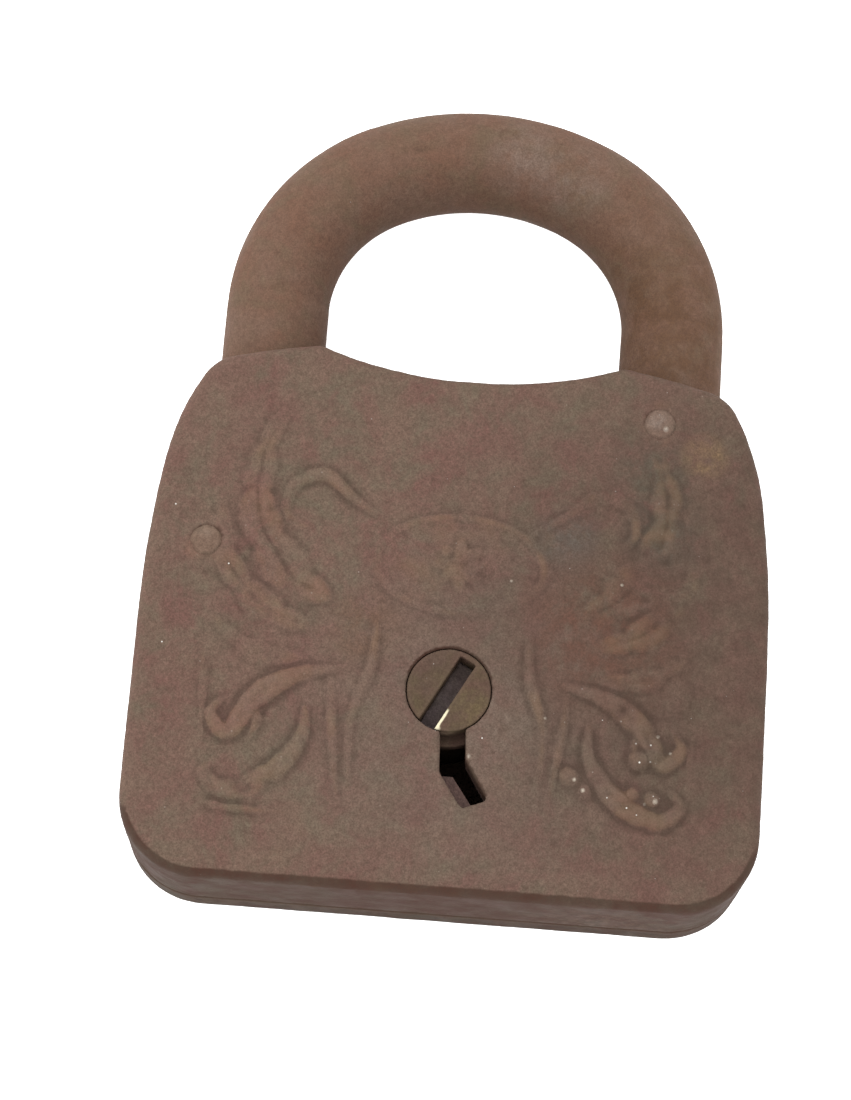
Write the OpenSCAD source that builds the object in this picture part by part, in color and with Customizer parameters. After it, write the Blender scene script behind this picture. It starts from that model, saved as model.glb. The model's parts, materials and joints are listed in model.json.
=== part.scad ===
// Cast lever padlock with a swinging shackle, lying on its back cover.
// X is across the lock, +Y points to the shackle, +Z comes out of the front face.
// The origin is at the middle of the overall outline, on the flat back face.

/* [Case] */
// Height from the bottom edge of the case to the top of the shackle
overall_h = 76.2; // [75.6:0.1:76.8]
// Width of the case
case_w = 55.8; // [55.6:0.1:57]
// Thickness of the case from the back face to the front face
case_t = 14.5; // [14.4:0.1:15]
// Thickness of the side walls
wall = 2.4; // [2:0.1:2.5]
// Thickness of the front wall
front_wall = 2.1; // [1.8:0.1:2.1]
// Thickness of the back cover's plate
cover_plate = 2.2; // [2:0.1:2.2]
// Height of the seam between the cover and the front case
seam_z = 4.4; // [3.6:0.1:5]
// Rounding of the front edge
edge_r = 1.2; // [1:0.1:2.2]
// Bevel along both sides of the seam
seam_bevel = 0.25; // [0.1:0.05:0.4]
// Radius of the lower corners of the case
corner_r = 7.2; // [7:0.1:9]
// Height of the saddle, the lowest point of the hollow top edge
saddle_y = 9.0; // [8.6:0.1:9.3]

/* [Shackle] */
// Diameter of the shackle bar
bar_d = 9.5; // [9.2:0.1:9.5]
// Distance from the middle of the lock to the middle of a leg
leg_x = 18.4; // [18.2:0.1:18.5]
// Radius of the two side arcs of the arch, along the middle of the bar
arch_side_r = 15.7; // [15:0.1:16.2]
// Angle that each side arc turns through
arch_side_deg = 65.4; // [60:0.1:70]
// Angle that the shackle opens
shackle_open_deg = 68; // [50:1:70]
// Sideways place of the shackle's pivot
pivot_x = 17.2; // [17:0.1:17.4]
// Height of the shackle's pivot
pivot_y = 6.0; // [5.8:0.1:6.2]
// Diameter of the case rivets
rivet_d = 3.2; // [3:0.1:3.2]

/* [Drum and keyhole] */
// Height of the key drum's middle
drum_y = -20.0; // [-20.3:0.1:-19.8]
// Diameter of the key drum
drum_d = 7.4; // [7:0.1:7.6]
// Width of the drum's key slot
slot_w = 1.6; // [1.4:0.1:1.8]
// Angle that the drum has turned clockwise from its home position
drum_off_home_deg = 28.5; // [0:0.5:60]

/* [Levers and bolt] */
// Thickness of one lever
lever_t = 1.0; // [0.8:0.1:1]
// Space between two levers
lever_gap = 0.4; // [0.35:0.05:0.4]
// Sideways place of the lever post
post_x = -22.4; // [-22.5:0.1:-22.3]
// Height of the lever post
post_y = -8.0; // [-8.5:0.1:-7.5]
// Travel of the bolt into the toe of the shackle
bolt_travel = 3.5; // [3:0.1:3.5]
// Thickness of the bolt plate
bolt_t = 2.55; // [2:0.05:2.55]

/* [Hidden] */

$fn = 64;
eps = 0.01;
gap = 0.35;            // free space between pieces that move past each other
run = 0.08;            // radial clearance of a running fit
slip = 0.02;           // radial clearance of a fixed fit

bottom_y = -overall_h / 2;
half_w = case_w / 2;
cavity_top = case_t - front_wall;
bar_r = bar_d / 2;
bar_z = (cover_plate + cavity_top) / 2;
rivet_r = rivet_d / 2;
rivet_dome = 0.55;
sink_r = 2.6;          // countersunk rivet heads at the back
sink_h = 1.0;

// Outline of the case, right half, as arcs: [centre x, centre y, radius, first angle, last angle]
side_r = 95;
side_y = -14.2;
side_end = 8.6;
shoulder_r = 22.7;
shoulder_end = 29.8;
crown_r = 4.1;
crown_end = 74.3;
top_r = 60.4;
saddle_r = 40;
kink_x = 13.8;         // where the shoulder meets the saddle, under the shackle's leg

side_c = [half_w - side_r, side_y];
shoulder_c = side_c + (side_r - shoulder_r) * [cos(side_end), sin(side_end)];
crown_c = shoulder_c + (shoulder_r - crown_r) * [cos(shoulder_end), sin(shoulder_end)];
top_c = crown_c + (crown_r - top_r) * [cos(crown_end), sin(crown_end)];
corner_c = [half_w - corner_r, bottom_y + corner_r];

// Points along an arc in n steps; first = 1 leaves out the point where the last arc ended
function arc(c, r, a0, a1, n, first = 0) =
    [for (i = [first : n]) c + r * [cos(a0 + (a1 - a0) * i / n), sin(a0 + (a1 - a0) * i / n)]];

// Right half of the outline, moved inward by d
function half_outline(d) = concat(
    arc(corner_c, corner_r - d, -90, 0, 14),
    arc(side_c, side_r - d, 0, side_end, 4),
    arc(shoulder_c, shoulder_r - d, side_end, shoulder_end, 6, 1),
    arc(crown_c, crown_r - d, shoulder_end, crown_end, 7, 1),
    arc(top_c, top_r - d, crown_end, acos((kink_x - top_c[0]) / (top_r - d)), 3, 1),
    arc([0, saddle_y + saddle_r], saddle_r + d, -90 + asin(kink_x / (saddle_r + d)), -87, 7, 1));

function outline(d) = let (h = half_outline(d), n = len(h))
    concat(h, [for (i = [n - 1 : -1 : 0]) [-h[i][0], h[i][1]]]);

// Solid with the outline as its rings: each ring is [z, inset]
module outline_solid(rings) {
    n = len(outline(0));
    last = len(rings) - 1;
    points = [for (ring = rings) for (p = outline(ring[1])) [p[0], p[1], ring[0]]];
    sides = [for (k = [0 : last - 1]) for (i = [0 : n - 1])
        let (j = (i + 1) % n) each [
            [k * n + i, (k + 1) * n + i, k * n + j],
            [k * n + j, (k + 1) * n + i, (k + 1) * n + j]]];
    floor_face = [[for (i = [0 : n - 1]) i]];
    roof_face = [[for (i = [n - 1 : -1 : 0]) last * n + i]];
    polyhedron(points = points, faces = concat(sides, floor_face, roof_face), convexity = 6);
}

// Quarter-round edge: rings from the flat side face at z0 to the face at z1
function edge_rings(z0, z1, r, steps) = let (up = sign(z1 - z0))
    [for (i = [0 : steps]) let (a = 90 * i / steps)
        [z1 - up * r * (1 - sin(a)), r * (1 - cos(a))]];

module cylinder_y(r, y0, y1) {
    translate([0, y0, 0])
        rotate([-90, 0, 0])
            cylinder(r = r, h = y1 - y0);
}

// Rounded rectangle between two corners, with true round corners
module soft_rect(x0, y0, x1, y1, r) {
    translate([x0 + r, y0]) square([x1 - x0 - 2 * r, y1 - y0]);
    translate([x0, y0 + r]) square([x1 - x0, y1 - y0 - 2 * r]);
    for (x = [x0 + r, x1 - r], y = [y0 + r, y1 - r])
        translate([x, y]) circle(r = r);
}

// ---------------------------------------------------------------- case
stud_x = 22.2;
stud_y = -32.2;
stud_r = 1.5;
stud_top = 9;
boss_r = 3;
toe_hole_r = bar_r + 0.6;
toe_hole_shift = 0.1;  // towards the middle, where the leg leans as the toe leaves
keyhole = [[-0.55, -22.5], [1.65, -22.5], [1.9, -26.2], [4.05, -29.55], [1.8, -30.45], [-0.3, -27.4]];
drum_floor = 1.0;      // bottom of the drum's bearing in the cover

// Space that the heel leg swings through, between the two faces of the case
module swing_space() {
    c = cos(shackle_open_deg);
    s = sin(shackle_open_deg);
    reach = heel_r + gap;
    inner = leg_x - bar_r - gap;
    x0 = 6;
    x1 = 14;
    translate([0, 0, cover_plate])
        linear_extrude(cavity_top - cover_plate)
            polygon([[inner, pivot_y], [pivot_x + x0, pivot_y + (x0 * c - reach) / s],
                [pivot_x + x1, pivot_y + (x1 * c - reach) / s], [pivot_x + x1, 20], [inner, 20]]);
}

module toe_hole() {
    translate([toe_hole_shift - leg_x, 0, bar_z])
        cylinder_y(toe_hole_r, 1, 16);
}

module stud_places() {
    for (x = [-stud_x, stud_x])
        translate([x, stud_y, 0]) children();
}

module front_case() color("#7d6255")
    difference() {
        outline_solid(concat([[seam_z, seam_bevel], [seam_z + seam_bevel, 0]],
            edge_rings(seam_z, case_t, edge_r, 4)));
        translate([0, 0, seam_z - 1])
            linear_extrude(cavity_top - seam_z + 1)
                difference() {
                    polygon(outline(wall));
                    stud_places() circle(r = boss_r);
                }
        stud_places() translate([0, 0, -1]) cylinder(r = stud_r + slip, h = stud_top + 1);
        translate([pivot_x, pivot_y, 0]) cylinder(r = rivet_r + slip, h = 20);
        translate([post_x, post_y, 0]) cylinder(r = rivet_r + slip, h = 20);
        translate([0, drum_y, 0]) cylinder(r = drum_d / 2 + run, h = 20);
        translate([0, 0, cavity_top - 1]) linear_extrude(4) polygon(keyhole);
        swing_space();
        toe_hole();
    }

module rivet_sink() {
    translate([0, 0, -eps]) cylinder(r1 = sink_r + slip, r2 = rivet_r + slip, h = sink_h);
    translate([0, 0, -1]) cylinder(r = rivet_r + slip, h = 20);
}

module back_cover() color("#74594c")
    difference() {
        outline_solid([[0, 1.0], [0.3, 0.3], [1.0, 0], [seam_z - seam_bevel, 0], [seam_z, seam_bevel]]);
        translate([0, 0, cover_plate]) linear_extrude(6) polygon(outline(wall));
        translate([pivot_x, pivot_y, 0]) rivet_sink();
        translate([post_x, post_y, 0]) rivet_sink();
        stud_places() translate([0, 0, -eps]) cylinder(r1 = sink_r, r2 = stud_r + slip, h = sink_h);
        stud_places() translate([0, 0, -1]) cylinder(r = stud_r + slip, h = 6);
        translate([0, drum_y, drum_floor]) cylinder(r = drum_d / 2 + run, h = 4);
        for (x = guide_x) translate([x, guide_y, peg_floor]) cylinder(r = guide_r + slip, h = 4);
        translate([stop_x, stop_y, peg_floor]) cylinder(r = stop_r + slip, h = 4);
        swing_space();
        toe_hole();
    }

// Rivet with a low dome in front and a countersunk head that is flush with the back
module case_rivet(shank_r, head_r, z_top, dome) {
    cylinder(r1 = head_r, r2 = shank_r, h = sink_h - eps);
    cylinder(r = shank_r, h = z_top);
    if (dome > 0)
        translate([0, 0, z_top])
            rotate_extrude()
                intersection() {
                    ball = (shank_r * shank_r + dome * dome) / (2 * dome);
                    translate([0, dome - ball]) circle(r = ball, $fn = 96);
                    square([shank_r, dome + eps]);
                }
}

module shackle_pivot() color("#8d8880")
    translate([pivot_x, pivot_y, 0]) case_rivet(rivet_r, sink_r, case_t, rivet_dome);

module lever_post() color("#7a5f50")
    translate([post_x, post_y, 0]) case_rivet(rivet_r, sink_r, case_t, rivet_dome);

module cover_studs() color("#6f5649")
    stud_places() case_rivet(stud_r, sink_r - slip, stud_top - 0.1, 0);

// ---------------------------------------------------------------- shackle
heel_r = leg_x + bar_r - pivot_x;      // round end of the heel, about the pivot
toe_y = 0.2;
toe_round = 1.5;
notch_y = [2.4, 6.0];
notch_depth = 3.25;
arch_in = leg_x - arch_side_r;         // from the middle of the lock to the middle of a side arc
crown_arc_r = arch_side_r + arch_in / cos(arch_side_deg);
crown_arc_y = overall_h / 2 - bar_r + 2 * slip - crown_arc_r;
spring_y = crown_arc_y + arch_in * tan(arch_side_deg);   // where the straight legs end
arch_c = [arch_in, spring_y];

// Piece of the arch. Each piece is a hair thinner than its neighbour and runs 1 degree into it.
module bar_arc(c, r, a0, a1, thinner) {
    translate([c[0], c[1], bar_z])
        rotate([0, 0, a0])
            rotate_extrude(angle = a1 - a0)
                translate([r, 0]) circle(r = bar_r - thinner);
}

module shackle() color("#76553f")
    difference() {
        union() {
            bar_arc(arch_c, arch_side_r, -1, arch_side_deg, slip);
            bar_arc([0, crown_arc_y], crown_arc_r, arch_side_deg - 1, 181 - arch_side_deg, 2 * slip);
            bar_arc([-arch_c[0], arch_c[1]], arch_side_r, 180 - arch_side_deg, 181, slip);
            translate([-leg_x, 0, bar_z]) {
                cylinder_y(bar_r, toe_y + toe_round, spring_y);
                translate([0, toe_y, 0])
                    rotate([-90, 0, 0]) cylinder(r1 = bar_r - 1.2, r2 = bar_r, h = toe_round);
            }
            intersection() {
                translate([leg_x, 0, bar_z]) cylinder_y(bar_r, pivot_y - 8, spring_y);
                union() {
                    translate([pivot_x - 12, pivot_y, 0]) cube([24, 20, case_t]);
                    translate([pivot_x, pivot_y, 0]) cylinder(r = heel_r, h = case_t);
                }
            }
        }
        translate([pivot_x, pivot_y, -1]) cylinder(r = rivet_r + run, h = case_t + 2);
        translate([-leg_x + bar_r - notch_depth, notch_y[0], 0])
            cube([notch_depth + 1, notch_y[1] - notch_y[0], case_t]);
    }

// ---------------------------------------------------------------- drum and ward
flange_r = 4.6;
flange_z = [11.0, 12.15];
drum_top = case_t - 0.15;
slot_past = 3.2;       // how far the slot runs past the middle
ward_z = [11.1, cavity_top - slip];

module key_drum() color("#7c6a4a")
    translate([0, drum_y, 0])
        difference() {
            union() {
                translate([0, 0, drum_floor + 0.1]) cylinder(r = drum_d / 2, h = drum_top - drum_floor - 0.1);
                translate([0, 0, flange_z[0]]) cylinder(r = flange_r, h = flange_z[1] - flange_z[0]);
            }
            rotate([0, 0, -drum_off_home_deg])
                translate([-slot_w / 2, -6, cover_plate + 0.3]) cube([slot_w, 6 + slot_past, 20]);
        }

module key_ward() color("#6c5a52")
    translate([0, 0, ward_z[0]])
        linear_extrude(ward_z[1] - ward_z[0])
            difference() {
                soft_rect(-5, -33.5, 7, -22, 1);
                translate([0, drum_y]) circle(r = flange_r + gap);
                polygon([[-0.7, -20], [1.8, -20], [2.0, -26.2], [4.2, -29.7], [3.0, -30.2],
                    [0.9, -27.3], [-0.7, -27.3]]);
            }

// ---------------------------------------------------------------- bolt
bolt_z = cover_plate + 0.25;
head_tip_x = -13.0;
head_y = [2.75, 5.65];
head_z = [4.8, 9.8];
guide_x = [-5.0, 4.4];
guide_y = 3.9;
guide_r = 1.5;
peg_floor = 0.9;
stump_x = 9.0;
stump_y = -4.6;
stump_w = 1.6;
stump_h = 2.0;
talon_x = bolt_travel / 2;
talon_half = 2.0;

// Slot that lets the bolt slide along a fixed post
module guide_slot(x) {
    r = guide_r + run;
    translate([x, guide_y]) circle(r = r);
    translate([x + bolt_travel + 0.3, guide_y]) circle(r = r);
    translate([x, guide_y - r]) square([bolt_travel + 0.3, 2 * r]);
}

module bolt() color("#8a7347")
    difference() {
        union() {
            translate([0, 0, bolt_z])
                linear_extrude(bolt_t)
                    difference() {
                        union() {
                            soft_rect(-9.0, 1.4, 10.4, 6.2, 0.6);
                            soft_rect(-8.5, -7.2, 11.4, 2.2, 0.8);
                            soft_rect(-4.6, -9.9, 7.4, -6, 0.6);
                            translate([head_tip_x, head_y[0]]) square([5, head_y[1] - head_y[0]]);
                        }
                        for (x = guide_x) guide_slot(x);
                        translate([talon_x - talon_half, -12]) square([2 * talon_half, 3.4]);
                    }
            translate([head_tip_x, head_y[0], bolt_z])
                cube([4.6, head_y[1] - head_y[0], head_z[1] - bolt_z]);
        }
        translate([stump_x - stump_w / 2, stump_y - stump_h / 2, 0])
            cube([stump_w, stump_h, 20]);
    }

module bolt_stump() color("#9a9288")
    translate([stump_x - stump_w / 2 + slip, stump_y - stump_h / 2 + slip, bolt_z])
        cube([stump_w - 2 * slip, stump_h - 2 * slip, lever_z(4) + lever_t - bolt_z]);

module bolt_guides() color("#8d8880")
    for (x = guide_x)
        translate([x, guide_y, peg_floor + slip]) cylinder(r = guide_r, h = bolt_z + bolt_t - peg_floor);

// ---------------------------------------------------------------- levers
stack_z = 5.35;                        // bottom of the first lever
lever_drop = [2.2, 3.4, 2.6, 3.8, 3.0]; // degrees that each lever falls when the key leaves
lever_over = 1.6;                      // degrees that a lever can be lifted too far
eye_r = 2.75;
belly_r = 7;
belly_bottom = drum_y + 8.2;
stop_x = 9.5;
stop_r = 1.3;
blade_bottom = -10.3;
blade_top = -1.2;
blade_left = -8.5;
blade_right = 12.4;
blade_r = 1.2;
stop_y = blade_bottom - gap - stop_r;
spring_foot_x = -6.0;
spring_w = 0.3;
spring_foot = 2;
foot_room = 0.05;

function lever_z(i) = stack_z + i * (lever_t + lever_gap);
// Sideways drop of a point at x when a lever turns about its post by an angle
function fall(x, angle) = (x - post_x) * sin(angle);

// Outline of a lever as it lies with the key out: eye, belly over the drum, blade and arm
function lever_outline() = let (belly_deg = acos((belly_bottom + belly_r - blade_bottom) / belly_r))
    concat(
        arc([post_x, post_y], eye_r, 75, 285, 14),
        [[blade_left, blade_bottom]],
        arc([0, belly_bottom + belly_r], belly_r, 270 - belly_deg, 270 + belly_deg, 10),
        arc([blade_right - blade_r, blade_bottom + blade_r], blade_r, -90, 0, 4),
        arc([blade_right - blade_r, blade_top - blade_r], blade_r, 0, 90, 4),
        [[blade_left, blade_top]]);

// Window of a lever: two pockets joined by the gate that the stump passes through
module lever_window(drop) {
    room = 0.4;
    side = 0.5;
    low = stump_y - stump_h / 2 - room - fall(stump_x, lever_over);
    high = stump_y + stump_h / 2 + room + fall(stump_x, drop);
    for (x = [stump_x, stump_x - bolt_travel])
        translate([x - stump_w / 2 - side, low]) square([stump_w + 2 * side, high - low]);
    translate([stump_x - bolt_travel, stump_y - stump_h / 2 - room])
        square([bolt_travel, stump_h + 2 * room]);
}

module about_post(angle) {
    translate([post_x, post_y])
        rotate([0, 0, angle])
            translate([-post_x, -post_y]) children();
}

module lever(i) {
    color(i % 2 == 0 ? "#9c8450" : "#8b7547")
        translate([0, 0, lever_z(i)])
            linear_extrude(lever_t)
                difference() {
                    about_post(lever_drop[i]) polygon(lever_outline());
                    translate([post_x, post_y]) circle(r = rivet_r + 0.06);
                    lever_window(lever_drop[i]);
                    translate([spring_foot_x - spring_w / 2 - foot_room, spring_base(i) - spring_foot])
                        square([spring_w + 2 * foot_room, spring_foot + 1]);
                }
}

// Height of the lever's top edge where the spring stands
function spring_base(i) = blade_top + fall(spring_foot_x, lever_drop[i]);

// Bow of a leaf spring: a straight foot and a quarter turn up to the inside of the saddle
module spring_line(i) {
    y = spring_base(i);
    bow_r = saddle_y - wall - gap - y - spring_w / 2;
    middle = [spring_foot_x + bow_r, y];
    foot_y = y - spring_foot + foot_room;
    polygon(concat(
        [[spring_foot_x + spring_w / 2, foot_y]],
        arc(middle, bow_r - spring_w / 2, 180, 90, 12),
        arc(middle, bow_r + spring_w / 2, 90, 180, 12),
        [[spring_foot_x - spring_w / 2, foot_y]]));
}

module lever_spring(i) {
    color("#6a6a70")
        translate([0, 0, lever_z(i) + 0.1])
            linear_extrude(lever_t - 0.2) spring_line(i);
}

module lever_1() { lever(0); }
module lever_2() { lever(1); }
module lever_3() { lever(2); }
module lever_4() { lever(3); }
module lever_5() { lever(4); }
module lever_spring_1() { lever_spring(0); }
module lever_spring_2() { lever_spring(1); }
module lever_spring_3() { lever_spring(2); }
module lever_spring_4() { lever_spring(3); }
module lever_spring_5() { lever_spring(4); }

module post_ring(z0, z1) {
    translate([post_x, post_y, z0])
        difference() {
            cylinder(r = 2.5, h = z1 - z0);
            translate([0, 0, -1]) cylinder(r = rivet_r + slip, h = z1 - z0 + 2);
        }
}

module lever_washers() color("#a08a5c")
    for (i = [0 : 3])
        post_ring(lever_z(i) + lever_t + lever_gap / 4, lever_z(i + 1) - lever_gap / 4);

module lever_spacer() color("#8d8880")
    post_ring(cover_plate + slip, stack_z - 0.1);

module lever_stop() color("#8d8880")
    translate([stop_x, stop_y, peg_floor + slip]) cylinder(r = stop_r, h = cavity_top - peg_floor - 0.1);

front_case();
back_cover();
shackle();
shackle_pivot();
lever_post();
cover_studs();
key_drum();
key_ward();
bolt();
bolt_stump();
bolt_guides();
lever_1();
lever_2();
lever_3();
lever_4();
lever_5();
lever_spring_1();
lever_spring_2();
lever_spring_3();
lever_spring_4();
lever_spring_5();
lever_washers();
lever_spacer();
lever_stop();
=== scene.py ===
import json
import math

import bpy
import numpy as np
from mathutils import Matrix, Vector, noise

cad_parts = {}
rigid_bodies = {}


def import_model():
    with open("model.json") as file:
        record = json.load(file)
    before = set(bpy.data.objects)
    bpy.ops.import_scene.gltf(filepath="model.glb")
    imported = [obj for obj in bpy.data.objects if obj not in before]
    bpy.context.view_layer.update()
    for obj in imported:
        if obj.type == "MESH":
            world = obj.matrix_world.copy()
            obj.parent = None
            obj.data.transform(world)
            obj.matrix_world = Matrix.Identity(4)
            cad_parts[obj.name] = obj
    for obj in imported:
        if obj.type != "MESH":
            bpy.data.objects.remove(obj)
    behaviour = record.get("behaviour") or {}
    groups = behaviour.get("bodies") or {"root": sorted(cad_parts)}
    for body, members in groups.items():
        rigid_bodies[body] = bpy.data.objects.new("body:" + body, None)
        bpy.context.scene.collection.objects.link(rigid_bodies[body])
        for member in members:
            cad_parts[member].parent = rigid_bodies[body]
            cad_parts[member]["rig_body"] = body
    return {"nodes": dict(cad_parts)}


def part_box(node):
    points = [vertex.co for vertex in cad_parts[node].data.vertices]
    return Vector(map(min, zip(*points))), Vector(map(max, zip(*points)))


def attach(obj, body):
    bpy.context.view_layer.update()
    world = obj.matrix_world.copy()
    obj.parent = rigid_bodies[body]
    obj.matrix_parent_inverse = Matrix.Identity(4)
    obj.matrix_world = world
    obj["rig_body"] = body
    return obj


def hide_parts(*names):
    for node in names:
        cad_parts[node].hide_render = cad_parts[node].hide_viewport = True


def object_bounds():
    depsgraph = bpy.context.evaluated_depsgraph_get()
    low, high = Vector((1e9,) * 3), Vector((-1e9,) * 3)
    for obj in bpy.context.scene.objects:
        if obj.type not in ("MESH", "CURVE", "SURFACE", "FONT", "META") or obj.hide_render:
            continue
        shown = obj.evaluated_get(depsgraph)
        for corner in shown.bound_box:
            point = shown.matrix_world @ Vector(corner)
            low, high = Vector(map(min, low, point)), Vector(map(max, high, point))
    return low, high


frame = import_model()
cad_low, cad_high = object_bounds()

# An old cast padlock lying on its back: X across, +Y towards the shackle, +Z out of the front.
# Shapes are worked on in millimetres and stored in metres.
MM = 0.001
FACE_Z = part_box("front_case")[1].z / MM     # the front face
ON_FACE = FACE_Z - 0.3                      # points above this belong to the front face
RELIEF_TOP = cad_high.z / MM - 0.06         # the relief stays under the rivet domes
MARGIN = 0.01                               # how far worked copies stay inside the CAD box
CASE_MIDDLE = (0.0, -11.0)
DRUM_LOW, DRUM_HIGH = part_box("key_drum")
DRUM_X = (DRUM_LOW.x + DRUM_HIGH.x) / 2 / MM
DRUM_R = (DRUM_HIGH.x - DRUM_LOW.x) / 2 / MM
DRUM_Y = DRUM_LOW.y / MM + DRUM_R
DRUM_TOP = DRUM_HIGH.z / MM
RIM_GROWTH = 0.07                           # rust that narrows the gap round the drum
SLOT_TURN = 90.0 - 28.5                     # the key slot's direction, in degrees from +X
SLOT_WIDTH = 1.6
SLOT_PAST = 3.2                             # how far the slot runs past the drum's middle
GRIME_DEPTH = 2.1                           # from the drum's front down to the packed dirt
GRIME_THICK = 1.2


def middle_of(node):
    """The middle of a CAD node, seen from the front."""
    low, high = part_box(node)
    return np.array([(low.x + high.x) / 2, (low.y + high.y) / 2]) / MM


RIVETS = [middle_of("shackle_pivot"), middle_of("lever_post")]
RIVET_R = 1.6
LIP_OVERLAP = 0.38                          # how far the face's metal closes over a rivet's rim
SOFTEN_IN, SOFTEN_OUT = 0.5, -0.52          # the two steps of one round of softening
HOLLOW_ROUNDS = 8                           # how wide a neighbourhood a hollow is judged in


# ---------------------------------------------------------------- meshes

def grain(points, size, seed):
    """Smooth noise from -1 to 1 at each point, with lumps about that many millimetres across."""
    shift = Vector((seed * 7.31, seed * 3.17, seed * 5.57))
    scale = 1 / size
    return np.array([noise.noise(Vector(p) * scale + shift) for p in points])


def smooth_step(value, low, high):
    """0 up to low, 1 from high on, and a smooth rise between them."""
    t = np.clip((value - low) / (high - low), 0, 1)
    return t * t * (3 - 2 * t)


def neighbour_mean(points, edges):
    """The mean of each point's neighbours along the edges of a mesh."""
    a, b = edges[:, 0], edges[:, 1]
    ends = np.concatenate([a, b])
    others = np.concatenate([points[b], points[a]])
    count = np.maximum(np.bincount(ends, minlength=len(points)), 1)
    sums = [np.bincount(ends, others[:, k], len(points)) for k in range(3)]
    return np.stack(sums, 1) / count[:, None]


def soften(points, edges, rounds):
    """Rounds off a mesh's steps and corners, and hardly shrinks it."""
    for step in [SOFTEN_IN, SOFTEN_OUT] * rounds:
        points = points + step * (neighbour_mean(points, edges) - points)
    return points


def hollowness(points, normals, edges):
    """How far each point lies below its neighbourhood, in millimetres: + in hollows, - on ridges."""
    level = points
    for _ in range(HOLLOW_ROUNDS):
        level = neighbour_mean(level, edges)
    return np.einsum("ij,ij->i", level - points, normals)


def wall_shade_share(normals):
    """1 on the side walls and on the rounded edge towards the bottom wall, 0 on the front face: where the
    walls get painted shade.
    """
    faces_bottom = smooth_step(-normals[:, 1], 0.05, 0.25)
    below_edge = smooth_step(-normals[:, 2], -0.97, -0.84) * faces_bottom
    side = smooth_step(-normals[:, 2], -0.45, -0.10)
    return np.maximum(below_edge, side)


def read_mesh(mesh):
    """A mesh's points, normals and edges as arrays."""
    points = np.empty((len(mesh.vertices), 3), np.float32)
    mesh.vertices.foreach_get("co", points.ravel())
    normals = np.empty((len(mesh.vertices), 3), np.float32)
    mesh.vertices.foreach_get("normal", normals.ravel())
    edges = np.empty((len(mesh.edges), 2), np.int32)
    mesh.edges.foreach_get("vertices", edges.ravel())
    return points.astype(float), normals.astype(float), edges


def set_points(mesh, points):
    """Moves the points of a mesh to new places."""
    mesh.vertices.foreach_set("co", points.astype(np.float32).ravel())
    mesh.update()


def store(mesh, name, values):
    """Keeps one number per point of a mesh for the materials."""
    mesh.attributes.new(name, "FLOAT", "POINT").data.foreach_set("value", values.astype(np.float32))


def apply_modifier(piece, kind, **settings):
    """Works one modifier into an object's mesh."""
    modifier = piece.modifiers.new(kind.lower(), kind)
    for name, value in settings.items():
        setattr(modifier, name, value)
    graph = bpy.context.evaluated_depsgraph_get()
    piece.data = bpy.data.meshes.new_from_object(piece.evaluated_get(graph))
    piece.modifiers.clear()


def worked_copy(node, name, voxel, rounds, shape, keep, slot):
    """A finely meshed copy of a CAD node that stands for it. shape(points, normals) gives how each
    point moves, in millimetres, and keep is the share of triangles left at the end. The materials
    read three values at each point: wall, lift and hollow."""
    source = frame["nodes"][node]
    mesh = source.data.copy()
    mesh.transform(Matrix.Scale(1 / MM, 4))
    mesh.materials.clear()
    piece = bpy.data.objects.new(name, mesh)
    bpy.context.scene.collection.objects.link(piece)
    apply_modifier(piece, "REMESH", mode="VOXEL", voxel_size=voxel)

    points, _, edges = read_mesh(piece.data)
    set_points(piece.data, soften(points, edges, rounds))
    points, normals, edges = read_mesh(piece.data)
    move = shape(points, normals)
    store(piece.data, "wall", wall_shade_share(normals))
    store(piece.data, "lift", np.einsum("ij,ij->i", move, normals))
    low, high = np.array(cad_low) / MM + MARGIN, np.array(cad_high) / MM - MARGIN
    if node == "front_case":
        high[2] = RELIEF_TOP
    set_points(piece.data, np.clip(points + move, low, high))
    points, normals, edges = read_mesh(piece.data)
    store(piece.data, "hollow", hollowness(points, normals, edges))

    apply_modifier(piece, "DECIMATE", ratio=keep)
    piece.data.transform(Matrix.Scale(MM, 4))
    piece.data.shade_smooth()
    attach(piece, source["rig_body"])
    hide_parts(node)
    return piece


# ---------------------------------------------------------------- relief on the front face

def curve(points, steps=10):
    """Points along a smooth curve through the given ones."""
    p = [np.array(q, float) for q in points]
    p = [2 * p[0] - p[1]] + p + [2 * p[-1] - p[-2]]
    out = []
    for a, b, c, d in zip(p, p[1:], p[2:], p[3:]):
        for k in range(steps):
            t = k / steps
            out.append(0.5 * (2 * b + (c - a) * t + (2 * a - 5 * b + 4 * c - d) * t ** 2
                              + (3 * b - a - 3 * c + d) * t ** 3))
    out.append(p[-2])
    return np.array(out)


FAR = 9.0                                   # further than any point of a shape from its line
TIP = 0.15                                  # the share of its width that a shape keeps at its ends
NOTCH = 0.60                                # the share that it keeps between two lobes
VEIN_WIDTH = 0.28


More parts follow.
